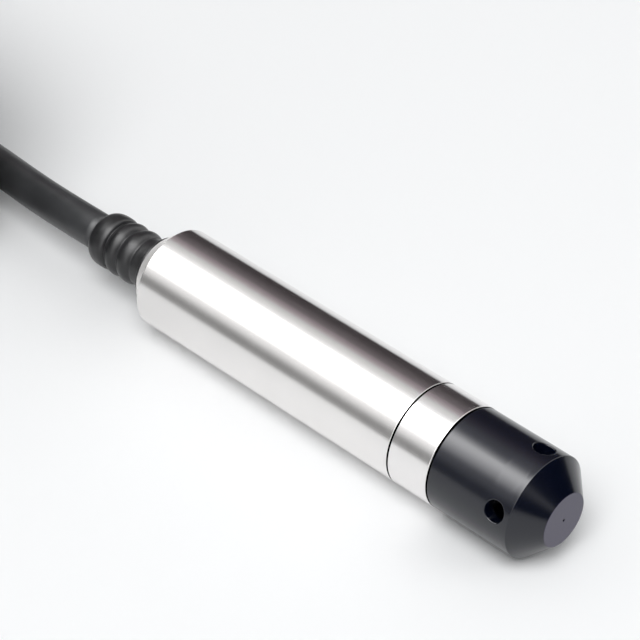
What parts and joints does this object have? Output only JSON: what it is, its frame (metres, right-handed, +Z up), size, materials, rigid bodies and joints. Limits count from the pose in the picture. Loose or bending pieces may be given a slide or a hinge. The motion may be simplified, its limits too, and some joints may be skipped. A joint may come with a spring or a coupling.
{
  "type": "submersible pressure sensor",
  "caption": "Slim steel submersible pressure sensor with a ported black nose cap that unscrews, a ribbed cable boot and a tied cable.",
  "frame": {"origin": "on the ground under the middle of the probe, without its free cable", "axes": "+X along the probe's axis towards its nose, +Z up, the cable leaves towards -X"},
  "size_m": [0.3286, 0.0764, 0.0657],
  "materials": {
    "housing_steel": "polished stainless steel",
    "head_steel": "fine turned stainless steel",
    "cap_plastic": "satin black acetal",
    "seal_rubber": "matte black",
    "cell_steel": "turned stainless steel",
    "diaphragm_foil": "bright rippled foil",
    "pin_gold": "gold plated",
    "board_laminate": "green solder mask",
    "lead_insulation": "plain",
    "carrier_plastic": "natural moulding",
    "chip_epoxy": "moulded epoxy",
    "arrester_ceramic": "glazed",
    "capacitor_can": "drawn can",
    "core_red": "core insulation",
    "core_black": "core insulation",
    "core_green": "core insulation",
    "vent_tube_wall": "clear white tube",
    "cable_jacket": "satin black jacket",
    "clamp_steel": "plain",
    "plated_brass": "nickel plated",
    "washer_brass": "turned",
    "gland_rubber": "matte black",
    "boot_rubber": "satin black",
    "tie_nylon": "nylon",
    "sleeve_shrink": "shrunk tubing",
    "ferrule_tin": "tinned copper"
  },
  "bodies": {
    "probe": {"housing_tube": "housing_steel", "sensor_head": "head_steel", "head_o_ring": "seal_rubber", "pressure_cell": "cell_steel", "isolating_diaphragm": "diaphragm_foil", "cell_o_ring": "seal_rubber", "cell_retaining_ring": "cell_steel", "header_pin_1": "pin_gold", "header_pin_2": "pin_gold", "header_pin_3": "pin_gold", "header_pin_4": "pin_gold", "compensation_board": "board_laminate", "cell_lead_1": "lead_insulation", "cell_lead_2": "lead_insulation", "cell_lead_3": "lead_insulation", "cell_lead_4": "lead_insulation", "circuit_board": "board_laminate", "board_carrier_front": "carrier_plastic", "board_carrier_rear": "carrier_plastic", "amplifier_chip": "chip_epoxy", "output_chip": "chip_epoxy", "surge_arrester": "arrester_ceramic", "capacitor_1": "capacitor_can", "capacitor_2": "capacitor_can", "inner_core_red": "core_red", "inner_core_black": "core_black", "inner_core_green": "core_green", "inner_vent_tube": "vent_tube_wall", "gland_cable": "cable_jacket", "cable_clamp_ring": "clamp_steel", "gland_pressure_screw": "plated_brass", "gland_thrust_washer": "washer_brass", "gland_seal_bush": "gland_rubber", "strain_relief_boot": "boot_rubber", "cable_run": "cable_jacket", "cable_hank": "cable_jacket", "hank_tie_side": "tie_nylon", "hank_tie_end": "tie_nylon", "cable_tail": "cable_jacket", "end_sleeve": "sleeve_shrink", "end_core_red": "core_red", "end_core_black": "core_black", "end_core_green": "core_green", "end_ferrule_red": "ferrule_tin", "end_ferrule_black": "ferrule_tin", "end_ferrule_green": "ferrule_tin", "end_vent_tube": "vent_tube_wall"},
    "lock_ring": {"cap_lock_ring": "seal_rubber"},
    "cap": {"nose_cap": "cap_plastic"}
  },
  "joints": [
    {"name": "cap_travel", "type": "slide", "parent": "probe", "child": "lock_ring", "axis": [1, 0, 0], "range_m": [0, 0.006]},
    {"name": "cap_turn", "type": "hinge", "parent": "lock_ring", "child": "cap", "pos_m": [0.05, 0, 0.011], "axis": [1, 0, 0], "range_deg": [0, 1440]}
  ],
  "couplings": [
    {"joint": "cap_travel", "follows": "cap_turn", "m_per_rad": 0.00023873}
  ]
}
